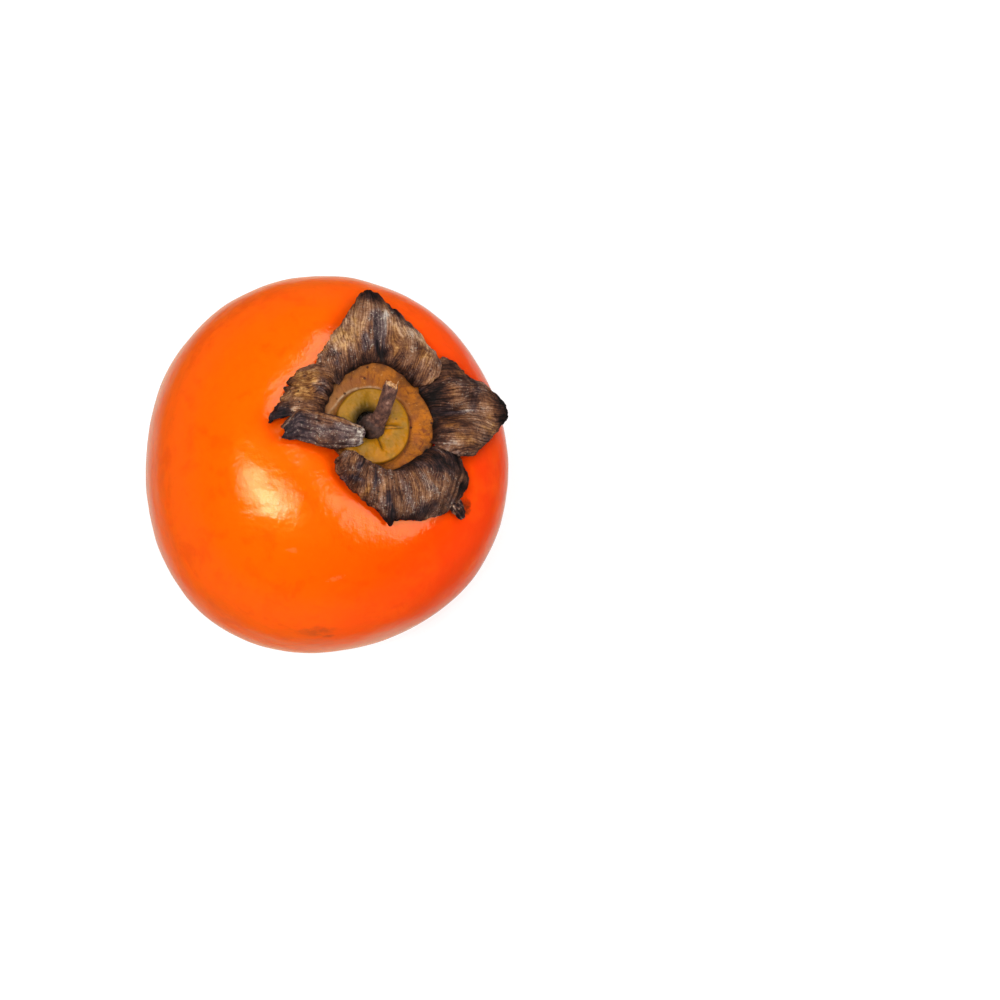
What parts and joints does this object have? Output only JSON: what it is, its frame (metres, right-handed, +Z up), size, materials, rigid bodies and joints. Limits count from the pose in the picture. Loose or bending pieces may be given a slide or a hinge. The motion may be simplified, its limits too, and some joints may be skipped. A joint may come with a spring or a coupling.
{
  "type": "persimmon",
  "caption": "Whole ripe orange persimmon with its dried, curled brown calyx, swollen ring and short broken stem, leaning on a small flat spot.",
  "frame": {"origin": "centre of the small flat spot on which the fruit rests", "axes": "+Z up; the fruit's own axis, from blossom end to stem, leans 21 degrees from +Z towards +X; +Y is the side towards which the stem stub bends"},
  "size_m": [0.0783, 0.0812, 0.0771],
  "materials": {
    "skin": "waxy glossy fruit skin over juicy flesh",
    "disc": "leathery ochre calyx plate, faintly veined",
    "collar": "smooth satin olive-yellow swollen ring",
    "dry_leaf": "dry, striated matt brown sepals",
    "bark": "rough purple-brown bark",
    "style": "dry black-brown tip"
  },
  "bodies": {
    "root": {"fruit": "skin", "calyx_disc": "disc", "collar": "collar", "sepal_north": "dry_leaf", "sepal_east": "dry_leaf", "sepal_south": "dry_leaf", "sepal_west": "dry_leaf", "stem": "bark", "style_tip": "style"}
  },
  "joints": []
}
